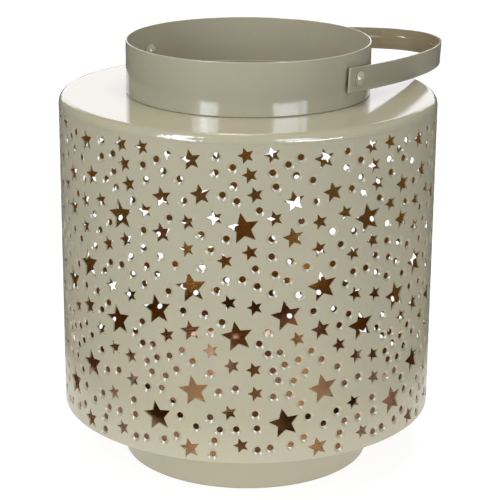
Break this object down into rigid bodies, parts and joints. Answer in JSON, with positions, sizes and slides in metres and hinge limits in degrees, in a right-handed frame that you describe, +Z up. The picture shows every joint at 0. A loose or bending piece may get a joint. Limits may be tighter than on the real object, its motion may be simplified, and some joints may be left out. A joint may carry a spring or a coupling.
{
  "type": "punched tin lantern",
  "caption": "Round sheet-metal candle lantern with star-punched wall, flat shoulder, open collar, narrower round foot and a flat strap handle that swings on side rivets.",
  "frame": {"origin": "centre of the circle on which the foot stands", "axes": "+Z up, +X along the handle's hinge, the lowered handle lies towards +Y"},
  "size_m": [0.2, 0.2855, 0.2271],
  "materials": {
    "enamel": "gloss greige enamel",
    "inner_lacquer": "satin copper-brown lacquer"
  },
  "bodies": {
    "lantern": {"drum_wall": "enamel", "shoulder": "enamel", "collar": "enamel", "base_pan": "inner_lacquer", "foot_ring": "enamel", "rivets": "enamel"},
    "handle": {"handle": "enamel"}
  },
  "joints": [
    {"name": "handle_swing", "type": "hinge", "parent": "lantern", "child": "handle", "pos_m": [0, 0, 0.21325], "axis": [1, 0, 0], "range_deg": [0, 189.9]}
  ]
}
